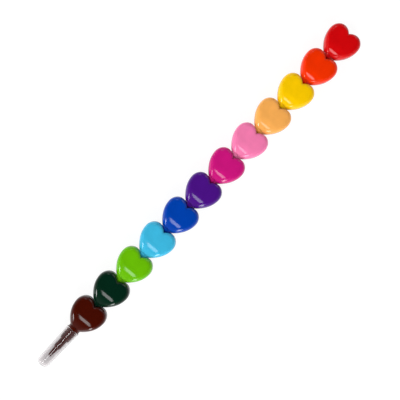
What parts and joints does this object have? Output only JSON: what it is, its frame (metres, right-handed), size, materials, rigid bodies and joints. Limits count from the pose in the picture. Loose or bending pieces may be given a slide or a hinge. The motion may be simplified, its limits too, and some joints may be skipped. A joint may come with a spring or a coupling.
{
  "type": "stackable crayon",
  "caption": "Heart-shaped crayon cartridges plugged nose to notch into one stick, with a clear push-on cap over the crayon point.",
  "frame": {"origin": "on the floor under the middle of the stick, which lies on its back", "axes": "+X along the stick from the cap to the free heart, +Y across the hearts, +Z out of their front faces"},
  "size_m": [0.25, 0.02, 0.011],
  "materials": {
    "brown_plastic": "glossy moulded plastic",
    "brown_wax": "smooth wax, soft sheen",
    "dark_green_plastic": "glossy moulded plastic",
    "dark_green_wax": "smooth wax, soft sheen",
    "lime_plastic": "glossy moulded plastic",
    "lime_wax": "smooth wax, soft sheen",
    "sky_blue_plastic": "glossy moulded plastic",
    "sky_blue_wax": "smooth wax, soft sheen",
    "blue_plastic": "glossy moulded plastic",
    "blue_wax": "smooth wax, soft sheen",
    "purple_plastic": "glossy moulded plastic",
    "purple_wax": "smooth wax, soft sheen",
    "magenta_plastic": "glossy moulded plastic",
    "magenta_wax": "smooth wax, soft sheen",
    "pink_plastic": "glossy moulded plastic",
    "pink_wax": "smooth wax, soft sheen",
    "peach_plastic": "glossy moulded plastic",
    "peach_wax": "smooth wax, soft sheen",
    "yellow_plastic": "glossy moulded plastic",
    "yellow_wax": "smooth wax, soft sheen",
    "orange_plastic": "glossy moulded plastic",
    "orange_wax": "smooth wax, soft sheen",
    "red_plastic": "glossy moulded plastic",
    "red_wax": "smooth wax, soft sheen",
    "clear_plastic": "clear glossy plastic"
  },
  "bodies": {
    "brown_unit": {"brown_heart_front": "brown_plastic", "brown_heart_back": "brown_plastic", "brown_holder": "brown_plastic", "brown_crayon": "brown_wax"},
    "dark_green_unit": {"dark_green_heart_front": "dark_green_plastic", "dark_green_heart_back": "dark_green_plastic", "dark_green_holder": "dark_green_plastic", "dark_green_crayon": "dark_green_wax"},
    "lime_unit": {"lime_heart_front": "lime_plastic", "lime_heart_back": "lime_plastic", "lime_holder": "lime_plastic", "lime_crayon": "lime_wax"},
    "sky_blue_unit": {"sky_blue_heart_front": "sky_blue_plastic", "sky_blue_heart_back": "sky_blue_plastic", "sky_blue_holder": "sky_blue_plastic", "sky_blue_crayon": "sky_blue_wax"},
    "blue_unit": {"blue_heart_front": "blue_plastic", "blue_heart_back": "blue_plastic", "blue_holder": "blue_plastic", "blue_crayon": "blue_wax"},
    "purple_unit": {"purple_heart_front": "purple_plastic", "purple_heart_back": "purple_plastic", "purple_holder": "purple_plastic", "purple_crayon": "purple_wax"},
    "magenta_unit": {"magenta_heart_front": "magenta_plastic", "magenta_heart_back": "magenta_plastic", "magenta_holder": "magenta_plastic", "magenta_crayon": "magenta_wax"},
    "pink_unit": {"pink_heart_front": "pink_plastic", "pink_heart_back": "pink_plastic", "pink_holder": "pink_plastic", "pink_crayon": "pink_wax"},
    "peach_unit": {"peach_heart_front": "peach_plastic", "peach_heart_back": "peach_plastic", "peach_holder": "peach_plastic", "peach_crayon": "peach_wax"},
    "yellow_unit": {"yellow_heart_front": "yellow_plastic", "yellow_heart_back": "yellow_plastic", "yellow_holder": "yellow_plastic", "yellow_crayon": "yellow_wax"},
    "orange_unit": {"orange_heart_front": "orange_plastic", "orange_heart_back": "orange_plastic", "orange_holder": "orange_plastic", "orange_crayon": "orange_wax"},
    "red_unit": {"red_heart_front": "red_plastic", "red_heart_back": "red_plastic", "red_holder": "red_plastic", "red_crayon": "red_wax"},
    "cap": {"clear_cap": "clear_plastic"}
  },
  "joints": [
    {"name": "cap_pull", "type": "slide", "parent": "brown_unit", "child": "cap", "axis": [-1, 0, 0], "range_m": [0, 0.0213]},
    {"name": "dark_green_pull", "type": "slide", "parent": "brown_unit", "child": "dark_green_unit", "axis": [1, 0, 0], "range_m": [0, 0.0227]},
    {"name": "lime_pull", "type": "slide", "parent": "dark_green_unit", "child": "lime_unit", "axis": [1, 0, 0], "range_m": [0, 0.0227]},
    {"name": "sky_blue_pull", "type": "slide", "parent": "lime_unit", "child": "sky_blue_unit", "axis": [1, 0, 0], "range_m": [0, 0.0227]},
    {"name": "blue_pull", "type": "slide", "parent": "sky_blue_unit", "child": "blue_unit", "axis": [1, 0, 0], "range_m": [0, 0.0227]},
    {"name": "purple_pull", "type": "slide", "parent": "blue_unit", "child": "purple_unit", "axis": [1, 0, 0], "range_m": [0, 0.0227]},
    {"name": "magenta_pull", "type": "slide", "parent": "purple_unit", "child": "magenta_unit", "axis": [1, 0, 0], "range_m": [0, 0.0227]},
    {"name": "pink_pull", "type": "slide", "parent": "magenta_unit", "child": "pink_unit", "axis": [1, 0, 0], "range_m": [0, 0.0227]},
    {"name": "peach_pull", "type": "slide", "parent": "pink_unit", "child": "peach_unit", "axis": [1, 0, 0], "range_m": [0, 0.0227]},
    {"name": "yellow_pull", "type": "slide", "parent": "peach_unit", "child": "yellow_unit", "axis": [1, 0, 0], "range_m": [0, 0.0227]},
    {"name": "orange_pull", "type": "slide", "parent": "yellow_unit", "child": "orange_unit", "axis": [1, 0, 0], "range_m": [0, 0.0227]},
    {"name": "red_pull", "type": "slide", "parent": "orange_unit", "child": "red_unit", "axis": [1, 0, 0], "range_m": [0, 0.0227]}
  ]
}
